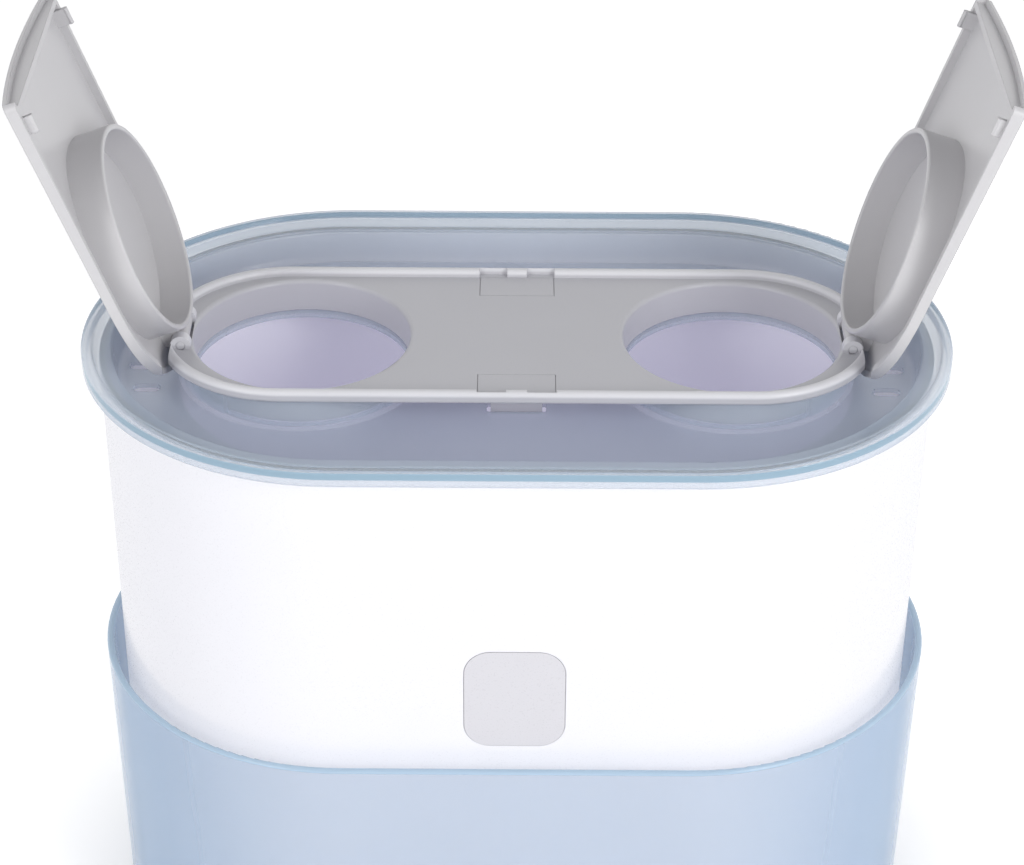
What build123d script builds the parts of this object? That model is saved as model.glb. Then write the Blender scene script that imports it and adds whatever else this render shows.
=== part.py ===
# Double bottle warmer and steriliser: white heated body standing in a translucent tub, translucent
# steam tray, grey lid frame and two flip covers standing open.
# Millimetres, +Z up, +X along the length, front towards -Y, origin on the floor under the centre.
import os
from math import cos, radians, sin, tan

from build123d import *

os.makedirs("parts", exist_ok=True)

# Shared outline: tub, body and tray are stadiums on one straight spine
SPINE = 61.0  # half the length of the straight sides
RUN_GAP = 0.3  # clearance between pieces that lift or turn past each other
FIT_GAP = 0.15  # clearance between pieces fixed in each other

# Outer tub
TUB_HEIGHT = 121.0
TUB_RIM_GAP = 4.1  # body to the tub's rim
TUB_DRAFT = 1.5  # degrees
TUB_WALL = 2.6
TUB_FLOOR = 3.0
TUB_FOOT_ROUND = 9.0

# White body shell
FOOT_HEIGHT = 4.0  # rubber feet between the tub floor and the body
BODY_HEIGHT = 233.6
BODY_TOP_RADIUS = 86.0
BODY_DRAFT = 0.8  # degrees
BODY_WALL = 2.4
BODY_FLANGE = 2.5  # inward flange that carries the base cover
BODY_FLANGE_WIDTH = 7.8
BODY_FOOT_ROUND = 8.0
BODY_BOTTOM = TUB_FLOOR + FOOT_HEIGHT
BODY_TOP = BODY_BOTTOM + BODY_HEIGHT

# Blank badge on the front
BADGE_WIDTH = 35.0
BADGE_HEIGHT = 40.5
BADGE_CORNER = 9.3
BADGE_THICKNESS = 0.8
BADGE_PROUD = 0.15
BADGE_Z = 148.0

# Steam tray
TRAY_SEAL = 1.2
TRAY_SKIN = 1.8
TRAY_OVERHANG = 6.0  # past the body's top edge
TRAY_RIM_RISE = 2.7  # lip above the ledge
TRAY_LIP_WIDTH = 4.2
TRAY_SKIRT_DEPTH = 7.0
TRAY_BOWL_DEPTH = 12.5  # ledge to floor
TRAY_BOWL_SLOPE = 1.8
TRAY_BOWL_GAP = 0.5
TRAY_LEDGE_TOP = BODY_TOP + TRAY_SEAL + TRAY_SKIN
TRAY_RIM_TOP = TRAY_LEDGE_TOP + TRAY_RIM_RISE
TRAY_FLOOR_TOP = TRAY_LEDGE_TOP - TRAY_BOWL_DEPTH
TRAY_FLOOR_BOTTOM = TRAY_FLOOR_TOP - TRAY_SKIN
TRAY_RIM_RADIUS = BODY_TOP_RADIUS + TRAY_OVERHANG
VENT_LENGTH = 9.8
VENT_WIDTH = 5.4
VENT_PITCH = 15.3
VENT_INSET = 23.4  # from the tray's end
VENT_CENTRE_SHIFT = 3.0  # the middle vent lies further out
VENT_X = SPINE + TRAY_RIM_RADIUS - VENT_INSET

# Bottle holes
HOLE_OUT = 14.7  # hole centre past the end of the straight side
HOLE_X = SPINE + HOLE_OUT
HOLE_RADIUS = 38.2  # bore of the lid collar
HOLE_LIP_ROUND = 1.5
COLLAR_WALL = 1.8
SLEEVE_GAP = 0.8  # collar to tray sleeve
SLEEVE_WALL = 2.0
COLLAR_TO_FLOOR = 1.3  # collar end above the tray floor

# Lid frame
LID_OUT = 5.1  # centre of the frame's round end past the hole's centre
LID_MARGIN = 6.8  # frame left around the hole
LID_SPINE = HOLE_X + LID_OUT
LID_RADIUS = HOLE_RADIUS + LID_MARGIN
LID_PLATE = 1.7
LID_RIM_HEIGHT = 2.7
LID_RIM_WIDTH = 3.7
LID_CREST_OUTER = 1.8  # rounding of the rim's top edges, which leaves almost no flat
LID_CREST_INNER = 1.6
LID_FOOT_ROUND = 1.2
LID_BOTTOM = TRAY_LEDGE_TOP - 0.6  # frame underside, resting on the tray sleeves
LID_FLOOR = LID_BOTTOM + LID_PLATE
LID_RIM_TOP = LID_FLOOR + LID_RIM_HEIGHT

# Catch plates let into the frame at the middle of each long side
CATCH_WIDTH = 26.6
CATCH_DEPTH = 13.4
CATCH_PLATE = 1.0
CATCH_LEG_WIDTH = 18.0
CATCH_LEG = 1.5
CATCH_LEG_SET = 3.5  # leg in from the plate's edge, under the frame
CATCH_BASE = 0.75
CATCH_LEG_BELOW_TRAY = 1.7
CATCH_SLOT_WIDTH = 20.6
CATCH_SLOT_DEPTH = 6.0
CATCH_SLOT_GAP = 0.4
NOTCH_NEAR = 3.6  # slots in the frame rim for the cover hooks, from the middle
NOTCH_FAR = 13.6

# Hinges
HINGE_INSET = 8.4  # axis in from the frame's round end
HINGE_X = LID_SPINE + LID_RADIUS - HINGE_INSET
HINGE_Z = LID_FLOOR + 1.1
PIN_RADIUS = 1.65
PIN_RUN_GAP = 0.05
PIN_FIT_GAP = 0.02
EAR_RADIUS = 3.6
EAR_INNER = 7.7
EAR_OUTER = 11.6
KNUCKLE_RADIUS = 2.5
KNUCKLE_WEB_BACK = 1.0
COVER_OPEN = 110.8  # degrees from closed to the open stop
RIGHT_SHORT = 1.4  # degrees that the right cover stands short of its stop
LID_END_PAST = 3.2  # flat end of the frame past the axis
LID_END_CUT = HINGE_X + LID_END_PAST

# Flip covers
COVER_MARGIN = 0.4  # past the frame's edge
COVER_RADIUS = LID_RADIUS + COVER_MARGIN
COVER_MEET = 0.25  # half the gap between the closed covers
COVER_CORNER = 3.0
COVER_SIDE = 4.1  # side height at the free end
COVER_SIDE_HINGE = 3.1
CROWN_FREE = 3.4  # arch above the sides
CROWN_HINGE = 2.2
COVER_SKIN = 1.5
COVER_WALL = 2.2
COVER_END_SET = 2.0  # end wall in from the free edge
COVER_REST_GAP = 1.0  # closed cover above the frame's rim
PLUG_GAP = 1.0  # plug ring to the bore
PLUG_WALL = 2.0
PLUG_DEPTH = 8.1  # below the cover's rim edge
TAIL_CUT_HALF = 25.5
TAIL_CUT_RAMP = 6.5
TAIL_CUT_HEIGHT = 3.0
TAIL_CUT_REACH = 8.0
HOOK_NEAR = 6.4
HOOK_FAR = 12.6
HOOK_THICKNESS = 1.6
HOOK_ROOT = 0.3  # hook let into the side wall
HOOK_BARB = 0.4
HOOK_REACH = 2.9  # below the cover's rim edge
COVER_RIM_EDGE = LID_RIM_TOP + COVER_REST_GAP
PLUG_RADIUS = HOLE_RADIUS - PLUG_GAP

# Water tank
TANK_SIDE_ROOM = 28.0  # tank in from the body's top edge
TANK_TAPER = 2.0
TANK_TOP_RADIUS = BODY_TOP_RADIUS - TANK_SIDE_ROOM
TANK_BOTTOM_RADIUS = TANK_TOP_RADIUS - TANK_TAPER
TANK_WALL = 2.0
TANK_FLOOR_TOP = 47.0
TANK_SHELF = 2.2
TANK_SHELF_BELOW_TRAY = 2.1
TANK_SEAL = 1.2
TANK_SEAL_WIDTH = 2.2
TANK_CORNER = 6.0
TANK_OPENING = TANK_BOTTOM_RADIUS - TANK_CORNER
TANK_SHELF_TOP = TRAY_FLOOR_BOTTOM - TANK_SHELF_BELOW_TRAY
TANK_SHELF_BOTTOM = TANK_SHELF_TOP - TANK_SHELF
TANK_FLOOR_BOTTOM = TANK_FLOOR_TOP - TANK_WALL
LEDGE_TOP = TANK_SHELF_BOTTOM - TANK_SEAL
LEDGE_WIDTH = 3.0
LEDGE_HEIGHT = 5.0

# Bottle rack on the tank floor
RACK_GAP = 2.0  # to the tank's foot
RACK_RADIUS = TANK_BOTTOM_RADIUS - RACK_GAP
RACK_PLATE = 2.0
RACK_LEG = 10.0
RACK_LEG_RADIUS = 3.0
RACK_HOLE_RADIUS = 4.5
RACK_RING_RADIUS = 24.0
RACK_RING_COUNT = 8
RACK_ROW_PITCH = 26.0
RACK_LEG_INSET = 15.0

# Heating plate and what is clamped under it
PLATE_LAP = 6.0  # plate under the tank floor
PLATE_RADIUS = TANK_OPENING + PLATE_LAP
PLATE_THICKNESS = 2.4
PLATE_SEAL = 1.2
PLATE_SEAL_WIDTH = 5.0
PLATE_TOP = TANK_FLOOR_BOTTOM - PLATE_SEAL
PLATE_BOTTOM = PLATE_TOP - PLATE_THICKNESS
CLIP_ANGLE = 30.0
CLIP_BOSS_OUT = 6.0  # boss centre outside the plate
CLIP_BOSS_REACH = PLATE_RADIUS + CLIP_BOSS_OUT
CLIP_BOSS_RADIUS = 3.4
CLIP_LENGTH = 15.0
CLIP_TAIL = 5.0  # clip past its screw
CLIP_WIDTH = 9.0
CLIP_SHEET = 1.2
HEATER_LENGTH = 60.0
HEATER_WIDTH = 32.0
HEATER_HEIGHT = 8.0
HEATER_TAB = 6.0
STRAP_WIDTH = 14.0
STRAP_SHEET = 1.4
STRAP_FLANGE = 13.0
TAB_X = 8.0
TAB_WIDTH = 6.0
TAB_SHEET = 0.8
THERMOSTAT_RADIUS = 8.0
THERMOSTAT_HEIGHT = 7.0
THERMOSTAT_Y = -27.0
FUSE_SIZE = (14.0, 5.0, 4.0)
FUSE_PLACE = (-24.0, -24.0)
PROBE_RADIUS = 3.0
PROBE_HEIGHT = 8.0
PROBE_PLACE = (26.0, -24.0)

# Base cover, feet and screws
BASE_EDGE = 9.0  # body wall left outside the base cover
BASE_THICKNESS = 2.5
BASE_TOP = BODY_BOTTOM + BASE_THICKNESS
BASE_BOSS_RADIUS = 3.8
BASE_BOSS_HEIGHT = 10.0
BASE_VENT_COUNT = 7
BASE_VENT_PITCH = 9.0
BASE_VENT_X = 38.0
BASE_VENT_LENGTH = 22.0
BASE_VENT_WIDTH = 3.0
FOOT_RADIUS = 8.0
FOOT_RECESS = 1.0
FOOT_OUT = 23.0  # past the end of the straight side
FOOT_INSET = 27.8  # in from the base cover's edge
SCREW_RADIUS = 1.4
SCREW_HEAD_RADIUS = 2.7
SCREW_HEAD = 1.6
SCREW_GAP = 0.1

# Control board
BOARD_LENGTH = 112.0
BOARD_WIDTH = 64.0
BOARD_THICKNESS = 1.6
BOARD_STAND = 8.0
BOARD_CORNER_INSET = 5.0
STAND_RADIUS = 3.2
BLOCK_HEIGHT = 10.0
BLOCK_DEPTH = 10.0
MAINS_BLOCK_LENGTH = 18.0
HEATER_BLOCK_SIZE = (24.0, 5.0)
THERMOSTAT_BLOCK_SIZE = (16.0, 7.0)
PROBE_BLOCK_SIZE = (8.0, 6.0)
TRANSFORMER_PLACE = (-42.0, -6.0)
TRANSFORMER_SIZE = (20.0, 24.0, 16.0)
RELAY_PLACE = (44.0, 0.0)
RELAY_SIZE = (16.0, 20.0, 15.0)
CHIP_PLACE = (8.0, -6.0)
CHIP_SIZE = (12.0, 12.0, 1.6)
CAPACITOR_PLACE = (-20.0, -5.0)
CAPACITOR_RADIUS = 5.0
CAPACITOR_HEIGHT = 11.0
LEAD_SPREAD = 4.0
LEAD_RADIUS = 1.1
LEAD_BEND = 6.0
BOARD_BOTTOM = BASE_TOP + BOARD_STAND
BOARD_TOP = BOARD_BOTTOM + BOARD_THICKNESS

# Rear power inlet and rocker switch, above the tub rim
REAR_Z = 138.0
INLET_X = -26.0
INLET_FLANGE = (38.0, 24.0)
INLET_BODY = (26.0, 18.0)
INLET_SOCKET_RADIUS = 4.6
INLET_PIN_SPACING = 8.6
INLET_PIN_RADIUS = 1.2
INLET_PIN_LENGTH = 10.0
INLET_SCREW_X = 15.8
INLET_BODY_DEPTH = 18.0
INLET_SOCKET_DEPTH = 14.0
SWITCH_X = 20.0
SWITCH_FLANGE = (17.0, 23.0)
SWITCH_BODY = (14.6, 20.6)
SWITCH_WELL = (12.0, 17.8)
SWITCH_BODY_DEPTH = 16.0
SWITCH_WELL_DEPTH = 14.0
FLANGE_THICKNESS = 1.6
FLANGE_SEAT = 0.6  # depth of the flat seat cut in the rear wall
ROCKER_LENGTH = 15.2
ROCKER_FACE = 8.5  # rocker face above its pivot, at the middle
ROCKER_BACK = 3.0
ROCKER_TILT = 8.0  # degrees each way
ROCKER_PIVOT_DEPTH = 8.0  # below the bezel face
ROCKER_PIN_RADIUS = 1.4
ROCKER_PIN_REACH = 1.0


def stadium(radius, z, spine=SPINE):
    """Flat stadium face at a height."""
    return Pos(0, 0, z) * SlotCenterToCenter(2 * spine, 2 * radius)


def tapered(radius_low, z_low, radius_high, z_high, spine=SPINE):
    """Stadium solid whose radius changes evenly with height."""
    return loft([stadium(radius_low, z_low, spine), stadium(radius_high, z_high, spine)], ruled=True)


def profile(*corners):
    """Closed face in the XZ plane from corners given as radius, height and corner rounding."""
    points = [(corner[0], corner[1]) for corner in corners]
    rounds = [corner[2] if len(corner) > 2 else 0 for corner in corners]
    return make_face(Plane.XZ * FilletPolyline(*points, radius=rounds, close=True))


def racetrack(face, spine=SPINE):
    """Carries a profile once round a stadium."""
    half_turn = revolve(Rot(0, 0, -90) * face, Axis.Z, 180)
    side = extrude(Pos(-spine, 0, 0) * Rot(0, 0, 90) * face, 2 * spine, dir=(1, 0, 0))
    right = Pos(spine, 0, 0) * half_turn
    return right + Rot(0, 0, 180) * right + side + Rot(0, 0, 180) * side


def block(x0, x1, y0, y1, z0, z1):
    """Box between two corners."""
    return Pos((x0 + x1) / 2, (y0 + y1) / 2, (z0 + z1) / 2) * Box(x1 - x0, y1 - y0, z1 - z0)


def post(x, y, radius, z0, z1):
    """Upright cylinder."""
    return Pos(x, y, (z0 + z1) / 2) * Cylinder(radius, z1 - z0)


def rod_x(x0, x1, y, z, radius):
    """Cylinder along X."""
    return Pos((x0 + x1) / 2, y, z) * Rot(0, 90, 0) * Cylinder(radius, x1 - x0)


def rod_y(x, y0, y1, z, radius):
    """Cylinder along Y."""
    return Pos(x, (y0 + y1) / 2, z) * Rot(90, 0, 0) * Cylinder(radius, y1 - y0)


def mirrored(shape):
    """The same shape on the other end."""
    return mirror(shape, about=Plane.YZ)


def both_ends(shape):
    """A shape and its mirror image across the middle of the length."""
    return shape + mirrored(shape)


def four_ways(shape):
    """A shape repeated in all four quarters."""
    half = both_ends(shape)
    return half + mirror(half, about=Plane.XZ)


def save(name, *solids):
    """Writes one sub-part."""
    whole = solids[0] if len(solids) == 1 else Compound(children=list(solids))
    export_step(whole, f"parts/{name}.step")


def body_radius(z):
    """Outer radius of the white body at a height."""
    return BODY_TOP_RADIUS - (BODY_TOP - z) * tan(radians(BODY_DRAFT))


# Outer tub
tub_rim_radius = body_radius(TUB_HEIGHT) + TUB_RIM_GAP + TUB_WALL
tub_foot_radius = tub_rim_radius - TUB_HEIGHT * tan(radians(TUB_DRAFT))
tub_floor_radius = tub_foot_radius - TUB_WALL + TUB_FLOOR * tan(radians(TUB_DRAFT))
tub_face = profile(
    (0, 0),
    (tub_foot_radius, 0, TUB_FOOT_ROUND),
    (tub_rim_radius, TUB_HEIGHT, TUB_WALL * 0.4),
    (tub_rim_radius - TUB_WALL, TUB_HEIGHT, TUB_WALL * 0.4),
    (tub_floor_radius, TUB_FLOOR, TUB_FOOT_ROUND - TUB_WALL),
    (0, TUB_FLOOR),
)
save("outer_tub", racetrack(tub_face))

# White body shell with its seats for the badge, tank, base cover, inlet and switch
body_foot_radius = body_radius(BODY_BOTTOM)
base_radius = body_foot_radius - BASE_EDGE
base_recess_radius = base_radius + FIT_GAP
flange_radius = base_radius - BODY_FLANGE_WIDTH
flange_top = BASE_TOP + BODY_FLANGE
ledge_wall = body_radius(LEDGE_TOP) - BODY_WALL
body_face = profile(
    (flange_radius, BASE_TOP),
    (base_recess_radius, BASE_TOP),
    (base_recess_radius, BODY_BOTTOM),
    (body_foot_radius, BODY_BOTTOM, BODY_FOOT_ROUND - BODY_WALL),
    (BODY_TOP_RADIUS, BODY_TOP, BODY_WALL * 0.3),
    (BODY_TOP_RADIUS - BODY_WALL, BODY_TOP, BODY_WALL * 0.3),
    (ledge_wall, LEDGE_TOP),
    (ledge_wall - LEDGE_WIDTH, LEDGE_TOP),
    (ledge_wall - LEDGE_WIDTH, LEDGE_TOP - LEDGE_HEIGHT + LEDGE_WIDTH),
    (body_radius(LEDGE_TOP - LEDGE_HEIGHT) - BODY_WALL, LEDGE_TOP - LEDGE_HEIGHT),
    (body_radius(flange_top) - BODY_WALL, flange_top, BODY_WALL),
    (flange_radius, flange_top),
)
shell = racetrack(body_face)
base_screw_ring = base_radius - BASE_BOSS_RADIUS
base_screw_places = [(SPINE * i, base_screw_ring * j) for i in (-1, 1) for j in (-1, 1)]
base_screw_places += [((SPINE + base_screw_ring) * i, 0) for i in (-1, 1)]
for x, y in base_screw_places:
    shell += post(x, y, BASE_BOSS_RADIUS, flange_top - BODY_FLANGE / 2, flange_top + BASE_BOSS_HEIGHT)
for x, y in base_screw_places:
    shell -= post(x, y, SCREW_RADIUS + FIT_GAP, BODY_BOTTOM, flange_top + BASE_BOSS_HEIGHT - BODY_FLANGE)

# Badge plate and its seat, leaning with the body's front wall
badge_outline = Plane.XZ * RectangleRounded(BADGE_WIDTH, BADGE_HEIGHT, BADGE_CORNER)
badge_seat_outline = Plane.XZ * RectangleRounded(
    BADGE_WIDTH + 2 * FIT_GAP, BADGE_HEIGHT + 2 * FIT_GAP, BADGE_CORNER + FIT_GAP
)
badge_frame = Pos(0, -body_radius(BADGE_Z), BADGE_Z) * Rot(BODY_DRAFT, 0, 0)
badge = badge_frame * Pos(0, -BADGE_PROUD, 0) * extrude(badge_outline, BADGE_THICKNESS, dir=(0, 1, 0))
badge_seat = badge_frame * extrude(badge_seat_outline, BADGE_THICKNESS - BADGE_PROUD, dir=(0, 1, 0))
badge_seat += badge_frame * extrude(badge_seat_outline, 1, dir=(0, -1, 0))
shell -= badge_seat
save("badge_plate", badge)

# Seats and holes for the inlet and the switch in the rear wall
seat_y = body_radius(REAR_Z) - FLANGE_SEAT
outside_y = BODY_TOP_RADIUS + 1
for x, flange, body in ((INLET_X, INLET_FLANGE, INLET_BODY), (SWITCH_X, SWITCH_FLANGE, SWITCH_BODY)):
    half_x = flange[0] / 2 + FIT_GAP
    half_z = flange[1] / 2 + FIT_GAP
    shell -= block(x - half_x, x + half_x, seat_y, outside_y, REAR_Z - half_z, REAR_Z + half_z)
    half_x = body[0] / 2 + FIT_GAP
    half_z = body[1] / 2 + FIT_GAP
    shell -= block(x - half_x, x + half_x, seat_y - 6, outside_y, REAR_Z - half_z, REAR_Z + half_z)
for side in (-1, 1):
    x = INLET_X + side * INLET_SCREW_X
    shell -= rod_y(x, seat_y - 6, outside_y, REAR_Z, SCREW_RADIUS + SCREW_GAP)
save("body_shell", shell)

# Power inlet with a figure of eight socket, its pins and its screws
flange_face = seat_y + FLANGE_THICKNESS
inlet = block(
    INLET_X - INLET_FLANGE[0] / 2,
    INLET_X + INLET_FLANGE[0] / 2,
    seat_y,
    flange_face,
    REAR_Z - INLET_FLANGE[1] / 2,
    REAR_Z + INLET_FLANGE[1] / 2,
)
inlet = fillet(inlet.edges().filter_by(Axis.Y), 2.5)
inlet = fillet(inlet.faces().sort_by(Axis.Y)[-1].edges(), 0.5)
inlet += block(
    INLET_X - INLET_BODY[0] / 2,
    INLET_X + INLET_BODY[0] / 2,
    flange_face - INLET_BODY_DEPTH,
    seat_y,
    REAR_Z - INLET_BODY[1] / 2,
    REAR_Z + INLET_BODY[1] / 2,
)
socket_face = Plane.XZ * SlotCenterToCenter(INLET_PIN_SPACING, 2 * INLET_SOCKET_RADIUS)
socket = extrude(socket_face, INLET_SOCKET_DEPTH, dir=(0, -1, 0))
inlet -= Pos(INLET_X, flange_face, REAR_Z) * socket
inlet_pins = []
inlet_screws = []
for side in (-1, 1):
    pin_x = INLET_X + side * INLET_PIN_SPACING / 2
    pin_root = flange_face - INLET_SOCKET_DEPTH
    inlet_pins.append(rod_y(pin_x, pin_root, pin_root + INLET_PIN_LENGTH, REAR_Z, INLET_PIN_RADIUS))
    screw_x = INLET_X + side * INLET_SCREW_X
    inlet -= rod_y(screw_x, seat_y, flange_face, REAR_Z, SCREW_RADIUS + SCREW_GAP)
    screw = rod_y(screw_x, seat_y - 5, flange_face, REAR_Z, SCREW_RADIUS)
    head = rod_y(screw_x, flange_face, flange_face + SCREW_HEAD / 2, REAR_Z, SCREW_HEAD_RADIUS)
    slot = block(
        screw_x - SCREW_HEAD_RADIUS,
        screw_x + SCREW_HEAD_RADIUS,
        flange_face + SCREW_HEAD / 4,
        flange_face + SCREW_HEAD,
        REAR_Z - SCREW_GAP * 4,
        REAR_Z + SCREW_GAP * 4,
    )
    inlet_screws.append(screw + head - slot)
save("power_inlet", inlet)
save("inlet_pins", *inlet_pins)
save("inlet_screws", *inlet_screws)

# Switch housing and its rocker, stored with the upper end out
housing = block(
    SWITCH_X - SWITCH_FLANGE[0] / 2,
    SWITCH_X + SWITCH_FLANGE[0] / 2,
    seat_y,
    flange_face,
    REAR_Z - SWITCH_FLANGE[1] / 2,
    REAR_Z + SWITCH_FLANGE[1] / 2,
)
housing = fillet(housing.edges().filter_by(Axis.Y), 1.5)
housing = fillet(housing.faces().sort_by(Axis.Y)[-1].edges(), 0.5)
housing += block(
    SWITCH_X - SWITCH_BODY[0] / 2,
    SWITCH_X + SWITCH_BODY[0] / 2,
    flange_face - SWITCH_BODY_DEPTH,
    seat_y,
    REAR_Z - SWITCH_BODY[1] / 2,
    REAR_Z + SWITCH_BODY[1] / 2,
)
housing -= block(
    SWITCH_X - SWITCH_WELL[0] / 2,
    SWITCH_X + SWITCH_WELL[0] / 2,
    flange_face - SWITCH_WELL_DEPTH,
    flange_face + 1,
    REAR_Z - SWITCH_WELL[1] / 2,
    REAR_Z + SWITCH_WELL[1] / 2,
)
pivot_y = flange_face - ROCKER_PIVOT_DEPTH
pin_end = SWITCH_WELL[0] / 2 + ROCKER_PIN_REACH
housing -= rod_x(
    SWITCH_X - pin_end - PIN_RUN_GAP,
    SWITCH_X + pin_end + PIN_RUN_GAP,
    pivot_y,
    REAR_Z,
    ROCKER_PIN_RADIUS + PIN_RUN_GAP,
)
save("switch_housing", housing)
half_rocker = ROCKER_LENGTH / 2
rocker_tip = ROCKER_FACE + half_rocker * tan(radians(ROCKER_TILT))
rocker_face = Plane.YZ * make_face(
    Polyline(
        (-ROCKER_BACK, -half_rocker),
        (rocker_tip, -half_rocker),
        (ROCKER_FACE, 0),
        (rocker_tip, half_rocker),
        (-ROCKER_BACK, half_rocker),
        close=True,
    )
)
rocker_half_width = SWITCH_WELL[0] / 2 - RUN_GAP
rocker = extrude(rocker_face, rocker_half_width, both=True)
rocker = fillet(rocker.edges().filter_by(Axis.X).sort_by(Axis.Y)[-2:], 0.6)
rocker += rod_x(-pin_end, pin_end, 0, 0, ROCKER_PIN_RADIUS)
save("switch_rocker", Pos(SWITCH_X, pivot_y, REAR_Z) * Rot(-ROCKER_TILT, 0, 0) * rocker)

# Base cover with vents and the seats of its feet and screws
base = extrude(stadium(base_radius, BODY_BOTTOM), BASE_THICKNESS)
for x, y in base_screw_places:
    base -= post(x, y, SCREW_RADIUS + SCREW_GAP, BODY_BOTTOM, BASE_TOP)
    base -= post(x, y, SCREW_HEAD_RADIUS + SCREW_GAP, BODY_BOTTOM, BODY_BOTTOM + SCREW_HEAD)
foot_x = SPINE + FOOT_OUT
foot_y = base_radius - FOOT_INSET
foot_places = [(foot_x * i, foot_y * j) for i in (-1, 1) for j in (-1, 1)]
for x, y in foot_places:
    base -= post(x, y, FOOT_RADIUS + SCREW_GAP, BODY_BOTTOM, BODY_BOTTOM + FOOT_RECESS)
vent_slot = SlotCenterToCenter(BASE_VENT_LENGTH, BASE_VENT_WIDTH)
vent = Pos(0, 0, BODY_BOTTOM) * extrude(vent_slot, BASE_THICKNESS)
for side in (-1, 1):
    for row in range(BASE_VENT_COUNT):
        base -= Pos(side * BASE_VENT_X, (row - (BASE_VENT_COUNT - 1) / 2) * BASE_VENT_PITCH, 0) * vent
board_corner_x = BOARD_LENGTH / 2 - BOARD_CORNER_INSET
board_corner_y = BOARD_WIDTH / 2 - BOARD_CORNER_INSET
stand = post(board_corner_x, board_corner_y, STAND_RADIUS, BASE_TOP, BOARD_BOTTOM)
stand -= post(board_corner_x, board_corner_y, SCREW_RADIUS, BASE_TOP + 2, BOARD_BOTTOM)
save("base_cover", base)
save("board_standoffs", *four_ways(stand).solids())
save(
    "base_screws",
    *[
        post(x, y, SCREW_HEAD_RADIUS, BODY_BOTTOM + 0.2, BODY_BOTTOM + SCREW_HEAD)
        + post(x, y, SCREW_RADIUS, BODY_BOTTOM + SCREW_HEAD, flange_top + BASE_BOSS_HEIGHT / 2)
        - (Pos(x, y, BODY_BOTTOM) * Rot(0, 0, 45) * Box(3.4, 0.8, 1.6))
        - (Pos(x, y, BODY_BOTTOM) * Rot(0, 0, -45) * Box(3.4, 0.8, 1.6))
        for x, y in base_screw_places
    ],
)
foot = post(foot_x, foot_y, FOOT_RADIUS, TUB_FLOOR, BODY_BOTTOM + FOOT_RECESS)
foot = chamfer(foot.faces().sort_by(Axis.Z)[0].edges(), 0.8)
save("rubber_feet", *four_ways(foot).solids())

# Control board, its parts and its screws
board = block(
    -BOARD_LENGTH / 2,
    BOARD_LENGTH / 2,
    -BOARD_WIDTH / 2,
    BOARD_WIDTH / 2,
    BOARD_BOTTOM,
    BOARD_TOP,
)
board_hole = post(board_corner_x, board_corner_y, SCREW_RADIUS + SCREW_GAP, BOARD_BOTTOM, BOARD_TOP)
board -= four_ways(board_hole)
save("control_board", board)
board_screw = post(board_corner_x, board_corner_y, SCREW_HEAD_RADIUS, BOARD_TOP, BOARD_TOP + SCREW_HEAD)
board_screw += post(
    board_corner_x, board_corner_y, SCREW_RADIUS - PIN_FIT_GAP, BASE_TOP + 2.5, BOARD_TOP
)
save("board_screws", *four_ways(board_screw).solids())


def board_block(x, y, length, width, height):
    """Component standing on the board."""
    return block(
        x - length / 2, x + length / 2, y - width / 2, y + width / 2, BOARD_TOP, BOARD_TOP + height
    )


block_top = BOARD_TOP + BLOCK_HEIGHT
mains_y = BOARD_WIDTH / 2 - BLOCK_DEPTH / 2
heater_y = HEATER_WIDTH / 2 + HEATER_TAB / 2
board_parts = [
    board_block(INLET_X, mains_y, MAINS_BLOCK_LENGTH, BLOCK_DEPTH, BLOCK_HEIGHT),
    board_block(SWITCH_X, mains_y, MAINS_BLOCK_LENGTH, BLOCK_DEPTH, BLOCK_HEIGHT),
    board_block(0, heater_y, *HEATER_BLOCK_SIZE, BLOCK_HEIGHT),
    board_block(0, THERMOSTAT_Y, *THERMOSTAT_BLOCK_SIZE, BLOCK_HEIGHT),
    board_block(*PROBE_PLACE, *PROBE_BLOCK_SIZE, BLOCK_HEIGHT),
    board_block(*TRANSFORMER_PLACE, *TRANSFORMER_SIZE),
    board_block(*RELAY_PLACE, *RELAY_SIZE),
    board_block(*CHIP_PLACE, *CHIP_SIZE),
    post(*CAPACITOR_PLACE, CAPACITOR_RADIUS, BOARD_TOP, BOARD_TOP + CAPACITOR_HEIGHT),
]
save("board_parts", *board_parts)

# Water tank with a shelf that carries it on the body's ledge
shelf_radius = body_radius(TANK_SHELF_BOTTOM) - BODY_WALL - FIT_GAP
tank_face = profile(
    (0, TANK_FLOOR_BOTTOM),
    (TANK_BOTTOM_RADIUS + TANK_WALL, TANK_FLOOR_BOTTOM, TANK_CORNER + TANK_WALL),
    (TANK_TOP_RADIUS + TANK_WALL, TANK_SHELF_BOTTOM, 1),
    (shelf_radius, TANK_SHELF_BOTTOM),
    (shelf_radius, TANK_SHELF_TOP),
    (TANK_TOP_RADIUS, TANK_SHELF_TOP, 2),
    (TANK_BOTTOM_RADIUS, TANK_FLOOR_TOP, TANK_CORNER),
    (0, TANK_FLOOR_TOP),
)
tank = racetrack(tank_face)
tank -= post(0, 0, TANK_OPENING, TANK_FLOOR_BOTTOM, TANK_FLOOR_TOP)
clip_angles = [CLIP_ANGLE, 180 - CLIP_ANGLE, 180 + CLIP_ANGLE, -CLIP_ANGLE]
clip_places = [Rot(0, 0, angle) * Pos(CLIP_BOSS_REACH, 0, 0) for angle in clip_angles]
for place in clip_places:
    tank += place * post(0, 0, CLIP_BOSS_RADIUS, PLATE_BOTTOM, TANK_FLOOR_BOTTOM)
for place in clip_places:
    tank -= place * post(0, 0, SCREW_RADIUS, PLATE_BOTTOM, TANK_FLOOR_BOTTOM - 1)
save("water_tank", tank)
seal_outer = ledge_wall - 2 * FIT_GAP
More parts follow.
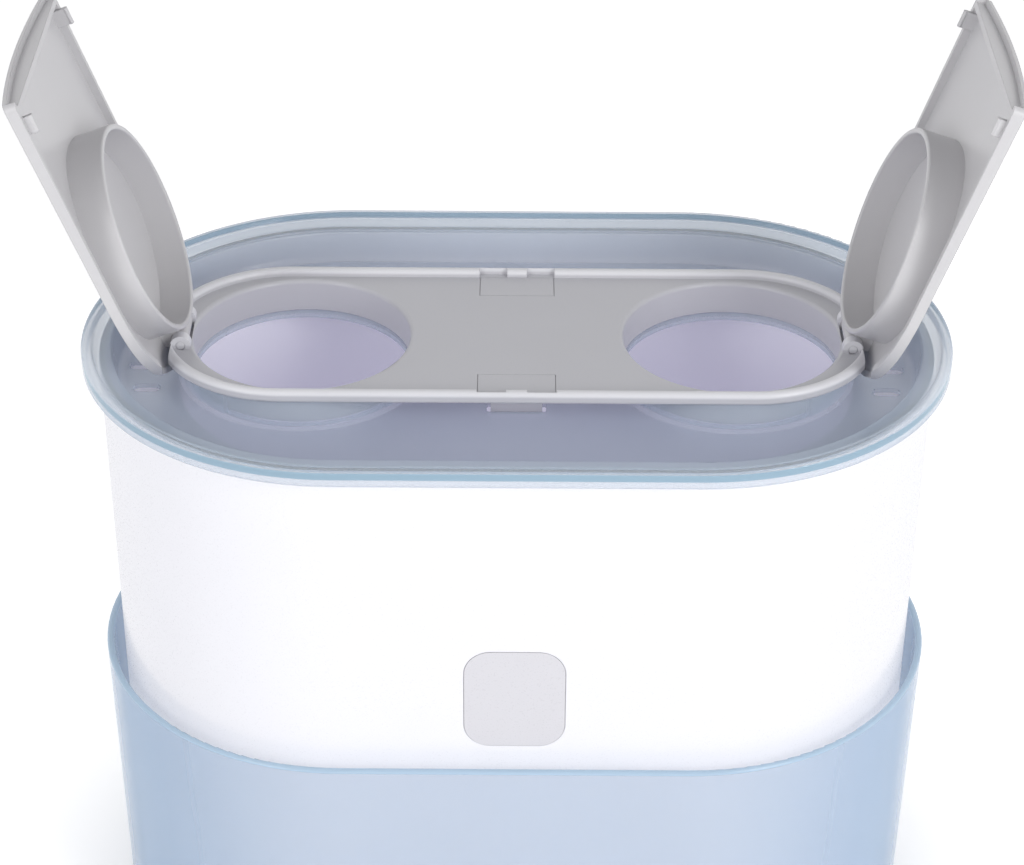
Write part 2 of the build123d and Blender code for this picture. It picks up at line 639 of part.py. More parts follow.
save(
    "tank_seal",
    extrude(stadium(seal_outer, LEDGE_TOP), TANK_SEAL)
    - extrude(stadium(seal_outer - TANK_SEAL_WIDTH, LEDGE_TOP), TANK_SEAL),
)

# Bottle rack standing in the tank
rack_top = TANK_FLOOR_TOP + RACK_LEG + RACK_PLATE
rack = extrude(stadium(RACK_RADIUS, rack_top - RACK_PLATE), RACK_PLATE)
for side in (-1, 1):
    rack -= post(side * HOLE_X, 0, RACK_HOLE_RADIUS, rack_top - RACK_PLATE, rack_top)
    for step in range(RACK_RING_COUNT):
        angle = radians(360 * step / RACK_RING_COUNT)
        hole_x = side * HOLE_X + RACK_RING_RADIUS * cos(angle)
        hole_y = RACK_RING_RADIUS * sin(angle)
        rack -= post(hole_x, hole_y, RACK_HOLE_RADIUS, rack_top - RACK_PLATE, rack_top)
for row in (-1, 0, 1):
    rack -= post(0, row * RACK_ROW_PITCH, RACK_HOLE_RADIUS, rack_top - RACK_PLATE, rack_top)
rack_leg = post(HOLE_X, RACK_RADIUS - RACK_LEG_INSET, RACK_LEG_RADIUS, TANK_FLOOR_TOP, rack_top - RACK_PLATE)
rack += four_ways(rack_leg)
save("bottle_rack", rack)

# Heating plate, seal, clips and clip screws
plate = post(0, 0, PLATE_RADIUS, PLATE_BOTTOM, PLATE_TOP)
strap_screw_x = HEATER_LENGTH / 2 + STRAP_SHEET + STRAP_FLANGE / 2
for side in (-1, 1):
    plate -= post(side * strap_screw_x, 0, SCREW_RADIUS, PLATE_BOTTOM, PLATE_TOP - 0.6)
save("heating_plate", plate)
plate_seal = post(0, 0, PLATE_RADIUS - 0.5, PLATE_TOP, TANK_FLOOR_BOTTOM)
plate_seal -= post(0, 0, PLATE_RADIUS - 0.5 - PLATE_SEAL_WIDTH, PLATE_TOP, TANK_FLOOR_BOTTOM)
save("plate_seal", plate_seal)
clips = []
plate_screws = []
clip_bottom = PLATE_BOTTOM - CLIP_SHEET
for place in clip_places:
    clip_near = CLIP_TAIL - CLIP_LENGTH
    clip = block(clip_near, CLIP_TAIL, -CLIP_WIDTH / 2, CLIP_WIDTH / 2, clip_bottom, PLATE_BOTTOM)
    clip -= post(0, 0, SCREW_RADIUS + SCREW_GAP, clip_bottom, PLATE_BOTTOM)
    clips.append(place * clip)
    screw = post(0, 0, SCREW_HEAD_RADIUS, clip_bottom - SCREW_HEAD, clip_bottom)
    screw += post(0, 0, SCREW_RADIUS - PIN_FIT_GAP, clip_bottom, TANK_FLOOR_BOTTOM - 1.2)
    plate_screws.append(place * screw)
save("plate_clips", *clips)

# Heater block, its strap and the strap's screws
heater_bottom = PLATE_BOTTOM - HEATER_HEIGHT
heater = block(
    -HEATER_LENGTH / 2,
    HEATER_LENGTH / 2,
    -HEATER_WIDTH / 2,
    HEATER_WIDTH / 2,
    heater_bottom,
    PLATE_BOTTOM,
)
heater_mid = (heater_bottom + PLATE_BOTTOM) / 2
for side in (-1, 1):
    tab_x = side * TAB_X
    tab_y = HEATER_WIDTH / 2
    heater += block(
        tab_x - TAB_WIDTH / 2,
        tab_x + TAB_WIDTH / 2,
        tab_y - 1,
        tab_y + HEATER_TAB,
        heater_mid,
        heater_mid + TAB_SHEET,
    )
save("heater_block", heater)
strap_half = STRAP_WIDTH / 2
strap_in = HEATER_LENGTH / 2
strap_out = strap_in + STRAP_SHEET
strap_end = strap_out + STRAP_FLANGE
strap_bottom = heater_bottom - STRAP_SHEET
strap_flange_bottom = PLATE_BOTTOM - STRAP_SHEET
strap = block(-strap_out, strap_out, -strap_half, strap_half, strap_bottom, heater_bottom)
leg = block(strap_in, strap_out, -strap_half, strap_half, strap_bottom, PLATE_BOTTOM)
leg += block(strap_in, strap_end, -strap_half, strap_half, strap_flange_bottom, PLATE_BOTTOM)
leg -= post(strap_screw_x, 0, SCREW_RADIUS + SCREW_GAP, strap_flange_bottom, PLATE_BOTTOM)
save("heater_strap", strap + both_ends(leg))
for side in (-1, 1):
    x = side * strap_screw_x
    screw = post(x, 0, SCREW_HEAD_RADIUS, strap_flange_bottom - SCREW_HEAD, strap_flange_bottom)
    screw += post(x, 0, SCREW_RADIUS - PIN_FIT_GAP, strap_flange_bottom, PLATE_TOP - 0.8)
    plate_screws.append(screw)
save("plate_screws", *plate_screws)

# Thermostat, thermal fuse and temperature probe against the plate
thermostat_bottom = PLATE_BOTTOM - THERMOSTAT_HEIGHT
thermostat = post(0, THERMOSTAT_Y, THERMOSTAT_RADIUS, thermostat_bottom, PLATE_BOTTOM)
thermostat += block(-12, 12, THERMOSTAT_Y - 4, THERMOSTAT_Y + 4, PLATE_BOTTOM - 0.8, PLATE_BOTTOM)
for side in (-1, 1):
    x = side * LEAD_SPREAD
    thermostat += block(
        x - 1.5, x + 1.5, THERMOSTAT_Y - 0.5, THERMOSTAT_Y + 0.5, thermostat_bottom - 2.5, thermostat_bottom
    )
save("thermostat", thermostat)
fuse_x, fuse_y = FUSE_PLACE
fuse = block(
    fuse_x - FUSE_SIZE[0] / 2,
    fuse_x + FUSE_SIZE[0] / 2,
    fuse_y - FUSE_SIZE[1] / 2,
    fuse_y + FUSE_SIZE[1] / 2,
    PLATE_BOTTOM - FUSE_SIZE[2],
    PLATE_BOTTOM,
)
save("thermal_fuse", fuse)
probe_bottom = PLATE_BOTTOM - PROBE_HEIGHT
save("temperature_probe", post(PROBE_PLACE[0], PROBE_PLACE[1], PROBE_RADIUS, probe_bottom, PLATE_BOTTOM))

# Leads: mains leads down the rear of the body, and short leads between board and heater parts
inlet_bottom = REAR_Z - INLET_BODY[1] / 2
switch_bottom = REAR_Z - SWITCH_BODY[1] / 2
lead_y = flange_face - INLET_BODY_DEPTH + 4
lead_z = BOARD_TOP + BLOCK_HEIGHT / 2
mains_leads = []
for centre, start_z in ((INLET_X, inlet_bottom), (SWITCH_X, switch_bottom)):
    for side in (-1, 1):
        x = centre + side * LEAD_SPREAD
        route = FilletPolyline(
            (x, lead_y, start_z), (x, lead_y, lead_z), (x, BOARD_WIDTH / 2, lead_z), radius=LEAD_BEND
        )
        mains_leads.append(sweep(Plane(origin=route @ 0, z_dir=route % 0) * Circle(LEAD_RADIUS), route))
save("mains_leads", *mains_leads)
heater_leads = []
for side in (-1, 1):
    heater_leads.append(post(side * TAB_X, heater_y, LEAD_RADIUS, block_top, heater_mid))
    heater_leads.append(
        post(side * LEAD_SPREAD, THERMOSTAT_Y, LEAD_RADIUS, block_top, thermostat_bottom - 2.5)
    )
heater_leads.append(post(PROBE_PLACE[0], PROBE_PLACE[1], LEAD_RADIUS, block_top, probe_bottom))
save("heater_leads", *heater_leads)

# Steam tray: bowl with a flared rim, a sleeve round each bottle hole and vents at both ends
bowl_outer = BODY_TOP_RADIUS - BODY_WALL - TRAY_BOWL_GAP
ledge_bottom = TRAY_LEDGE_TOP - TRAY_SKIN
skirt_bottom = TRAY_RIM_TOP - TRAY_SKIRT_DEPTH
lip_inner = TRAY_RIM_RADIUS - TRAY_LIP_WIDTH
tray_face = profile(
    (0, TRAY_FLOOR_BOTTOM),
    (bowl_outer - TRAY_BOWL_SLOPE, TRAY_FLOOR_BOTTOM, 3.0),
    (bowl_outer, ledge_bottom),
    (lip_inner - TRAY_SKIN * 0.6, ledge_bottom),
    (lip_inner + TRAY_SKIN * 0.5, TRAY_RIM_TOP - TRAY_SKIN * 1.3, 0.6),
    (TRAY_RIM_RADIUS - TRAY_SKIN, TRAY_RIM_TOP - TRAY_SKIN * 1.3, 0.6),
    (TRAY_RIM_RADIUS - TRAY_SKIN, skirt_bottom, 0.6),
    (TRAY_RIM_RADIUS, skirt_bottom, 0.8),
    (TRAY_RIM_RADIUS, TRAY_RIM_TOP, 1.9),
    (lip_inner + 0.9, TRAY_RIM_TOP, 1.0),
    (lip_inner, TRAY_LEDGE_TOP + 0.6, 0.6),
    (bowl_outer - TRAY_SKIN, TRAY_LEDGE_TOP, 1.0),
    (bowl_outer - TRAY_SKIN - TRAY_BOWL_SLOPE, TRAY_FLOOR_TOP, 3.0),
    (0, TRAY_FLOOR_TOP),
)
tray = racetrack(tray_face)
collar_outer = HOLE_RADIUS + COLLAR_WALL
sleeve_inner = collar_outer + SLEEVE_GAP
sleeve_outer = sleeve_inner + SLEEVE_WALL
sleeve_face = profile(
    (sleeve_inner, TRAY_FLOOR_TOP - 1),
    (sleeve_outer + 1.2, TRAY_FLOOR_TOP - 1),
    (sleeve_outer + 1.2, TRAY_FLOOR_TOP),
    (sleeve_outer, TRAY_FLOOR_TOP + 1.2),
    (sleeve_outer, LID_BOTTOM, 0.6),
    (sleeve_inner, LID_BOTTOM, 0.4),
)
sleeve = Pos(HOLE_X, 0, 0) * revolve(sleeve_face, Axis.Z, 360)
tray += both_ends(sleeve)
tray_hole = post(HOLE_X, 0, HOLE_RADIUS, TRAY_FLOOR_BOTTOM, TRAY_FLOOR_TOP)
tray -= both_ends(tray_hole)
vent_face = SlotOverall(VENT_LENGTH, VENT_WIDTH)
for row in (-1, 0, 1):
    vent_x = VENT_X + (VENT_CENTRE_SHIFT if row == 0 else 0)
    tray_vent = Pos(vent_x, row * VENT_PITCH, TRAY_FLOOR_BOTTOM) * extrude(vent_face, TRAY_SKIN)
    tray -= both_ends(tray_vent)
catch_outer = LID_RADIUS - LID_RIM_WIDTH
catch_inner = catch_outer - CATCH_DEPTH
leg_inner = catch_inner - CATCH_LEG_SET
slot_near = leg_inner - CATCH_SLOT_GAP
catch_slot = block(
    -CATCH_SLOT_WIDTH / 2,
    CATCH_SLOT_WIDTH / 2,
    slot_near,
    slot_near + CATCH_SLOT_DEPTH,
    TRAY_FLOOR_BOTTOM,
    TRAY_FLOOR_TOP,
)
catch_slot = fillet(catch_slot.edges().filter_by(Axis.Z), 0.8)
tray -= catch_slot + mirror(catch_slot, about=Plane.XZ)
save("steam_tray", tray)
tray_seal_outer = BODY_TOP_RADIUS - 2 * FIT_GAP
tray_seal_inner = BODY_TOP_RADIUS - BODY_WALL + FIT_GAP
save(
    "tray_seal",
    extrude(stadium(tray_seal_outer, BODY_TOP), TRAY_SEAL)
    - extrude(stadium(tray_seal_inner, BODY_TOP), TRAY_SEAL),
)

# Lid frame: rimmed plate with a collar in each hole and hinge ears at both ends
rim_inner = LID_RADIUS - LID_RIM_WIDTH
frame_face = profile(
    (0, LID_BOTTOM),
    (LID_RADIUS, LID_BOTTOM, LID_FOOT_ROUND),
    (LID_RADIUS, LID_RIM_TOP, LID_CREST_OUTER),
    (rim_inner, LID_RIM_TOP, LID_CREST_INNER),
    (rim_inner, LID_FLOOR),
    (0, LID_FLOOR),
)
frame = racetrack(frame_face, LID_SPINE)
frame -= both_ends(post(HOLE_X, 0, collar_outer, LID_BOTTOM, LID_FLOOR))
collar_bottom = TRAY_FLOOR_TOP + COLLAR_TO_FLOOR
collar_face = profile(
    (HOLE_RADIUS, collar_bottom, 0.5),
    (collar_outer, collar_bottom, 0.5),
    (collar_outer, LID_FLOOR),
    (HOLE_RADIUS, LID_FLOOR, HOLE_LIP_ROUND),
)
frame += both_ends(Pos(HOLE_X, 0, 0) * revolve(collar_face, Axis.Z, 360))
frame -= both_ends(block(LID_END_CUT, LID_SPINE + LID_RADIUS + 1, -30, 30, LID_BOTTOM, LID_RIM_TOP + 1))
ear = rod_y(HINGE_X, EAR_INNER, EAR_OUTER, HINGE_Z, EAR_RADIUS)
ear += block(HINGE_X - EAR_RADIUS, HINGE_X + EAR_RADIUS, EAR_INNER, EAR_OUTER, LID_BOTTOM, HINGE_Z)
ear -= block(HINGE_X - 10, HINGE_X + 10, 0, EAR_OUTER + 1, LID_BOTTOM - 5, LID_BOTTOM)
frame += four_ways(ear)
hinge_window = block(
    HINGE_X - KNUCKLE_RADIUS - 2 * RUN_GAP,
    LID_END_CUT + 1,
    -EAR_INNER,
    EAR_INNER,
    LID_BOTTOM - 0.1,
    LID_RIM_TOP + 4,
)
frame -= both_ends(hinge_window)
pin_hole = rod_y(HINGE_X, -EAR_OUTER - 1, EAR_OUTER + 1, HINGE_Z, PIN_RADIUS + PIN_FIT_GAP)
frame -= both_ends(pin_hole)

# Catch pockets and hook notches in the frame
pocket_half = CATCH_WIDTH / 2 + FIT_GAP
leg_half = CATCH_LEG_WIDTH / 2
window_half = leg_half + FIT_GAP
stem_outer = catch_inner + CATCH_LEG
catch_pocket = block(
    -pocket_half, pocket_half, catch_inner - FIT_GAP, rim_inner, LID_FLOOR - CATCH_PLATE, LID_FLOOR
)
catch_window = block(
    -window_half, window_half, catch_inner - FIT_GAP, stem_outer + FIT_GAP, LID_BOTTOM, LID_FLOOR
)
under_pocket = block(
    -window_half,
    window_half,
    leg_inner - FIT_GAP,
    stem_outer + FIT_GAP,
    LID_BOTTOM,
    LID_BOTTOM + CATCH_BASE + FIT_GAP,
)
hook_outer = COVER_RADIUS - COVER_WALL + HOOK_ROOT
notch = block(NOTCH_NEAR, NOTCH_FAR, rim_inner - 0.1, hook_outer + RUN_GAP, LID_FLOOR, LID_RIM_TOP + 1)
front_cuts = catch_pocket + catch_window + under_pocket + both_ends(notch)
frame -= front_cuts + mirror(front_cuts, about=Plane.XZ)
save("lid_frame", frame)

# Catch plates: the visible plate, and the leg under the frame that clips it to the tray
catch_half = CATCH_WIDTH / 2
catch_top_low = LID_FLOOR - CATCH_PLATE
catch = block(-catch_half, catch_half, catch_inner, rim_inner - FIT_GAP, catch_top_low, LID_FLOOR)
catch += block(-leg_half, leg_half, catch_inner, stem_outer, LID_BOTTOM, LID_FLOOR - CATCH_PLATE / 2)
catch += block(-leg_half, leg_half, leg_inner, stem_outer, LID_BOTTOM, LID_BOTTOM + CATCH_BASE)
leg_bottom = TRAY_FLOOR_BOTTOM - CATCH_LEG_BELOW_TRAY
catch += block(-leg_half, leg_half, leg_inner, leg_inner + CATCH_LEG, leg_bottom, LID_BOTTOM + CATCH_BASE / 2)
save("catch_plates", catch, mirror(catch, about=Plane.XZ))

# Hinge pins, fixed in the frame's ears
pin = rod_y(HINGE_X, -EAR_OUTER, EAR_OUTER, HINGE_Z, PIN_RADIUS)
pin = chamfer(pin.edges().filter_by(GeomType.CIRCLE), 0.3)
save("hinge_pin_right", pin)
save("hinge_pin_left", mirrored(pin))

# Flip covers, modelled closed at the right-hand end and turned open about the hinge
cover_far = LID_SPINE + COVER_RADIUS


def arch_section(x, side_top, crown, bottom):
    """Upright face across the cover, with an arched top."""
    half = COVER_RADIUS + 1
    outline = Polyline((x, -half, side_top), (x, -half, bottom), (x, half, bottom), (x, half, side_top))
    top = ThreePointArc((x, half, side_top), (x, 0, side_top + crown), (x, -half, side_top))
    return make_face(outline + top)


def arched(bottom, drop):
    """Solid under the crown, which sinks towards the hinge, lowered by a drop."""
    edge = COVER_RIM_EDGE - drop
    free_end = arch_section(0, edge + COVER_SIDE, CROWN_FREE, bottom)
    hinge_end = arch_section(cover_far + 1, edge + COVER_SIDE_HINGE, CROWN_HINGE, bottom)
    return loft([free_end, hinge_end], ruled=True)


def cover_plan(radius, near, bottom):
    """Upright prism of the cover's plan: straight free end, round hinge end."""
    full = extrude(stadium(radius, bottom, LID_SPINE), cover_top - bottom)
    return full & block(near, cover_far + 1, -radius, radius, bottom, cover_top)


cover_top = COVER_RIM_EDGE + COVER_SIDE + CROWN_FREE + 1
below_edge = COVER_RIM_EDGE - 1
end_outer = COVER_MEET + COVER_END_SET
end_inner = end_outer + COVER_WALL
cavity_radius = COVER_RADIUS - COVER_WALL
cover_outline = cover_plan(COVER_RADIUS, COVER_MEET, COVER_RIM_EDGE)
cover_outline = fillet(cover_outline.edges().filter_by(Axis.Z).sort_by(Axis.X)[:2], COVER_CORNER)
cover = arched(COVER_RIM_EDGE, 0) & cover_outline
cavity = arched(below_edge, COVER_SKIN)
cover -= cavity & cover_plan(cavity_radius, end_inner, below_edge)
end_recess = block(COVER_MEET - 1, end_outer, -cavity_radius, cavity_radius, below_edge, cover_top)
cover -= cavity & end_recess

# Room under the cover's tail for the frame's end and the hinge
tail_high = COVER_RIM_EDGE + TAIL_CUT_HEIGHT
tail_outer = TAIL_CUT_HALF + TAIL_CUT_RAMP
tail_face = Plane.YZ * make_face(
    Polyline(
        (-tail_outer, below_edge),
        (tail_outer, below_edge),
        (tail_outer, COVER_RIM_EDGE),
        (TAIL_CUT_HALF, tail_high),
        (-TAIL_CUT_HALF, tail_high),
        (-tail_outer, COVER_RIM_EDGE),
        close=True,
    )
)
cover -= Pos(HINGE_X - TAIL_CUT_REACH, 0, 0) * extrude(tail_face, TAIL_CUT_REACH * 2 + 2, dir=(1, 0, 0))

# Plug ring, hinge knuckle and hooks under the cover
plug_bottom = COVER_RIM_EDGE - PLUG_DEPTH
plug_face = profile(
    (PLUG_RADIUS - PLUG_WALL, plug_bottom, 0.7),
    (PLUG_RADIUS, plug_bottom, 0.7),
    (PLUG_RADIUS, cover_top),
    (PLUG_RADIUS - PLUG_WALL, cover_top),
)
into_skin = arched(plug_bottom - 1, COVER_SKIN / 2)
cover += (Pos(HOLE_X, 0, 0) * revolve(plug_face, Axis.Z, 360)) & into_skin
knuckle_half = EAR_INNER - RUN_GAP
web = block(
    HOLE_X + PLUG_RADIUS - PLUG_WALL / 2,
    HINGE_X + KNUCKLE_WEB_BACK,
    -knuckle_half,
    knuckle_half,
    HINGE_Z,
    cover_top,
)
cover += rod_y(HINGE_X, -knuckle_half, knuckle_half, HINGE_Z, KNUCKLE_RADIUS) + (web & into_skin)
cover -= rod_y(HINGE_X, -knuckle_half - 1, knuckle_half + 1, HINGE_Z, PIN_RADIUS + PIN_RUN_GAP)
hook_bottom = COVER_RIM_EDGE - HOOK_REACH
hook_top = COVER_RIM_EDGE + COVER_SIDE - COVER_SKIN / 2
hook_inner = hook_outer - HOOK_THICKNESS
hook_profile = Plane.YZ * make_face(
    Polyline(
        (hook_outer, hook_top),
        (hook_outer, hook_bottom + 0.8),
        (hook_outer - 0.5, hook_bottom),
        (hook_inner, hook_bottom),
        (hook_inner - HOOK_BARB, hook_bottom + 0.7),
        (hook_inner, hook_bottom + 1.4),
        (hook_inner, hook_top),
        close=True,
    )
)
hook = Pos(HOOK_NEAR, 0, 0) * extrude(hook_profile, HOOK_FAR - HOOK_NEAR, dir=(1, 0, 0))
cover += hook + mirror(hook, about=Plane.XZ)

hinge_axis = Axis((HINGE_X, 0, HINGE_Z), (0, 1, 0))
save("flip_cover_right", cover.rotate(hinge_axis, COVER_OPEN - RIGHT_SHORT))
save("flip_cover_left", mirrored(cover.rotate(hinge_axis, COVER_OPEN)))
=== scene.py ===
from math import radians

import bmesh
import bpy
from mathutils import Matrix, Vector

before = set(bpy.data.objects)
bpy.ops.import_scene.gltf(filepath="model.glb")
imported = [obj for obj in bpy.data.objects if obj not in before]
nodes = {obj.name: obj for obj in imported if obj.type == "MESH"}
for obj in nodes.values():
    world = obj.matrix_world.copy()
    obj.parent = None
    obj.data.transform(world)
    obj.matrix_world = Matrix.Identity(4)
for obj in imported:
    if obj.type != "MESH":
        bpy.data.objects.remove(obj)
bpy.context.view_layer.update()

MM = 0.001
SPINE = 61.0  # half the straight sides of the tub, body and tray, in millimetres

# Materials

NOISE_SPAN = {"From Min": 0.3, "From Max": 0.7}  # the range that a noise mostly stays in
CLOUD_SCALE = 22.0  # the colour drifts in clouds about 45 mm across
CLEAR_CLOUD_SCALE = 14.0  # and about 70 mm across in clear plastic
CLEAR_DRIFT = 0.03  # how much darker the clouds in clear plastic are
GLOSS_SPREAD = 0.15  # how much the roughness varies with the grain
LINE_EDGE = 0.3  # half the height over which a deep line fades in, in millimetres
WALL_EDGE = 0.2  # half the depth over which it fades in at the outer face
PEEL = 2.5  # orange peel of a polished mould, across, in millimetres
PEEL_DEPTH = 0.02
CLEAR_EDGE = 0.5  # rounding of the clear plastic's edges, in millimetres
LIGHT_DENSITY = 0.54  # share of its density that clear plastic keeps for passing light


def linear(code):
    """Linear colour with alpha 1 from an sRGB hex code."""
    parts = [int(code[i:i + 2], 16) / 255 for i in (0, 2, 4)]
    straight = [p / 12.92 if p <= 0.04045 else ((p + 0.055) / 1.055) ** 2.4 for p in parts]
    return straight + [1.0]


def add(tree, kind, inputs=None, **settings):
    """Adds a node with its settings. An input is a value, or the output that feeds it."""
    node = tree.nodes.new(kind)
    for name, value in settings.items():
        setattr(node, name, value)
    for name, value in (inputs or {}).items():
        if isinstance(value, bpy.types.NodeSocket):
            tree.links.new(value, node.inputs[name])
        else:
            node.inputs[name].default_value = value
    return node


def empty_material(name):
    """A material with no nodes yet."""
    material = bpy.data.materials.new(name)
    material.use_nodes = True
    material.node_tree.nodes.clear()
    return material


def surface(name, code, roughness, grain, depth, drift=0.03, edge=0.4, painted_highlight=None, **principled):
    """Moulded or cast surface: an even colour that drifts a little, and a fine grain.

    grain is the size of the grain, depth its relief and edge the rounding of its edges.
    The painted highlight argument gives two heights between which the colour turns lighter, a
    highlight painted on the rim tops, and that lighter colour.
    All lengths are in millimetres.
    """
    material = empty_material(name)
    tree = material.node_tree
    place = add(tree, "ShaderNodeTexCoord").outputs["Object"]
    cloud = add(
        tree, "ShaderNodeTexNoise", {"Vector": place, "Scale": CLOUD_SCALE, "Detail": 2.0}
    )
    tone = add(
        tree,
        "ShaderNodeMapRange",
        {"Value": cloud.outputs["Fac"], **NOISE_SPAN, "To Min": 1 - drift, "To Max": 1.0},
    )
    base = linear(code)
    # Painted highlight: the colour turns lighter with height, standing in for light caught on the
    # rim tops
    if painted_highlight:
        low, high, pale = painted_highlight
        level = add(tree, "ShaderNodeSeparateXYZ", {"Vector": place})
        highlight_share = add(
            tree,
            "ShaderNodeMapRange",
            {"Value": level.outputs["Z"], "From Min": low * MM, "From Max": high * MM},
            interpolation_type="SMOOTHSTEP",
        )
        highlight_mix = add(
            tree,
            "ShaderNodeMix",
            {"Factor": highlight_share.outputs["Result"], "A": base, "B": linear(pale)},
            data_type="RGBA",
        )
        base = highlight_mix.outputs["Result"]
    colour = add(
        tree,
        "ShaderNodeMix",
        {"Factor": 1.0, "A": base, "B": tone.outputs["Result"]},
        data_type="RGBA",
        blend_type="MULTIPLY",
    )
    speck = add(
        tree,
        "ShaderNodeTexNoise",
        {"Vector": place, "Scale": 1 / (grain * MM), "Detail": 3.0},
    )
    gloss = add(
        tree,
        "ShaderNodeMapRange",
        {
            "Value": speck.outputs["Fac"],
            **NOISE_SPAN,
            "To Min": roughness * (1 - GLOSS_SPREAD),
            "To Max": roughness * (1 + GLOSS_SPREAD),
        },
    )
    inputs = {"Height": speck.outputs["Fac"], "Strength": 0.5, "Distance": depth * MM}
    if edge:
        rounded = add(tree, "ShaderNodeBevel", {"Radius": edge * MM}, samples=4)
        inputs["Normal"] = rounded.outputs["Normal"]
    relief = add(tree, "ShaderNodeBump", inputs)
    shader = add(
        tree,
        "ShaderNodeBsdfPrincipled",
        {
            "Base Color": colour.outputs["Result"],
            "Roughness": gloss.outputs["Result"],
            "Normal": relief.outputs["Normal"],
            **{key.replace("_", " "): value for key, value in principled.items()},
        },
    )
    add(tree, "ShaderNodeOutputMaterial", {"Surface": shader.outputs["BSDF"]})
    return material


def seen_directly(tree):
    """1 where the camera sees a surface, also in a reflection or through clear plastic."""
    path = add(tree, "ShaderNodeLightPath")
    seen = path.outputs["Is Camera Ray"]
    for ray in ("Is Transmission Ray", "Is Glossy Ray"):
        either = add(tree, "ShaderNodeMath", {0: seen, 1: path.outputs[ray]}, operation="MAXIMUM")
        seen = either.outputs[0]
    return seen


def band(tree, place, bottom, top, reach):
    """1 on a stadium's outer face between two heights and past a reach from its spine.

    All three are in millimetres.
    """
    parts = add(tree, "ShaderNodeSeparateXYZ", {"Vector": place})
    along = add(tree, "ShaderNodeMath", {0: parts.outputs["X"]}, operation="ABSOLUTE")
    past = add(
        tree, "ShaderNodeMath", {0: along.outputs[0], 1: SPINE * MM}, operation="SUBTRACT"
    )
    past = add(tree, "ShaderNodeMath", {0: past.outputs[0], 1: 0.0}, operation="MAXIMUM")
    flat = add(
        tree, "ShaderNodeCombineXYZ", {"X": past.outputs[0], "Y": parts.outputs["Y"]}
    )
    radius = add(tree, "ShaderNodeVectorMath", {0: flat.outputs["Vector"]}, operation="LENGTH")
    share = 1.0
    for value, start, end in (
        (parts.outputs["Z"], bottom - LINE_EDGE, bottom + LINE_EDGE),
        (parts.outputs["Z"], top + LINE_EDGE, top - LINE_EDGE),
        (radius.outputs["Value"], reach - WALL_EDGE, reach + WALL_EDGE),
    ):
        step = add(
            tree,
            "ShaderNodeMapRange",
            {"Value": value, "From Min": start * MM, "From Max": end * MM},
            interpolation_type="SMOOTHSTEP",
        )
        both = add(
            tree, "ShaderNodeMath", {0: share, 1: step.outputs["Result"]}, operation="MULTIPLY"
        )
        share = both.outputs[0]
    return share


def clear_surface(name, code, deep_code, facing, edge_on, deep_band):
    """Clear tinted plastic: thin where it faces you and denser edge on.

    facing and edge_on are its densities, and deep_band gives band() the line where it is thick.
    """
    material = empty_material(name)
    tree = material.node_tree
    place = add(tree, "ShaderNodeTexCoord").outputs["Object"]
    deep = band(tree, place, *deep_band)
    cloud = add(
        tree, "ShaderNodeTexNoise", {"Vector": place, "Scale": CLEAR_CLOUD_SCALE, "Detail": 2.0}
    )
    tone = add(
        tree,
        "ShaderNodeMapRange",
        {"Value": cloud.outputs["Fac"], **NOISE_SPAN, "To Min": 1 - CLEAR_DRIFT, "To Max": 1.0},
    )
    tint = add(
        tree,
        "ShaderNodeMix",
        {"Factor": deep, "A": linear(code), "B": linear(deep_code)},
        data_type="RGBA",
    )
    colour = add(
        tree,
        "ShaderNodeMix",
        {"Factor": 1.0, "A": tint.outputs["Result"], "B": tone.outputs["Result"]},
        data_type="RGBA",
        blend_type="MULTIPLY",
    )
    turn = add(tree, "ShaderNodeLayerWeight", {"Blend": 0.5})
    spread = add(
        tree,
        "ShaderNodeMapRange",
        {
            "Value": turn.outputs["Facing"],
            "From Min": 0.2,
            "From Max": 1.0,
            "To Min": facing,
            "To Max": edge_on,
        },
    )
    density = add(
        tree,
        "ShaderNodeMath",
        {0: spread.outputs["Result"], 1: deep},
        operation="MAXIMUM",
        use_clamp=True,
    )
    # Milky plastic scatters light onward, so it casts less shadow than its look suggests
    passing = add(
        tree,
        "ShaderNodeMapRange",
        {"Value": seen_directly(tree), "To Min": LIGHT_DENSITY, "To Max": 1.0},
    )
    density = add(
        tree,
        "ShaderNodeMath",
        {0: density.outputs[0], 1: passing.outputs["Result"]},
        operation="MULTIPLY",
    )
    # The orange peel is drawn strong enough to show in the gloss
    peel = add(
        tree,
        "ShaderNodeTexNoise",
        {"Vector": place, "Scale": 1 / (PEEL * MM), "Detail": 1.0},
    )
    edge = add(tree, "ShaderNodeBevel", {"Radius": CLEAR_EDGE * MM}, samples=4)
    relief = add(
        tree,
        "ShaderNodeBump",
        {
            "Height": peel.outputs["Fac"],
            "Strength": 0.3,
            "Distance": PEEL_DEPTH * MM,
            "Normal": edge.outputs["Normal"],
        },
    )
    shader = add(
        tree,
        "ShaderNodeBsdfPrincipled",
        {
            "Base Color": colour.outputs["Result"],
            "Roughness": 0.12,
            "IOR": 1.49,
            "Alpha": density.outputs[0],
            "Normal": relief.outputs["Normal"],
        },
    )
    add(tree, "ShaderNodeOutputMaterial", {"Surface": shader.outputs["BSDF"]})
    return material


# Moulded clear blue polypropylene of the tub: glossy and milky, with a deep line round its rim
tub_plastic = clear_surface(
    "tub polypropylene clear blue",
    code="A2BCD8",
    deep_code="B2CADF",
    facing=0.2,
    edge_on=0.88,
    deep_band=(119.9, 122.0, 80.0),
)
# The same plastic in the steam tray, greyer, with a deep blue line round its lip
tray_plastic = clear_surface(
    "tray polypropylene clear blue",
    code="C2D0E0",
    deep_code="93AFC2",
    facing=0.27,
    edge_on=0.72,
    deep_band=(242.2, 244.9, 91.4),
)
# Body in gloss white ABS: clean, faintly cool, with a soft sheen
white_abs = surface("body ABS gloss white", "F3F3F8", 0.3, 0.5, 0.01, drift=0.01, Coat_Weight=0.2)
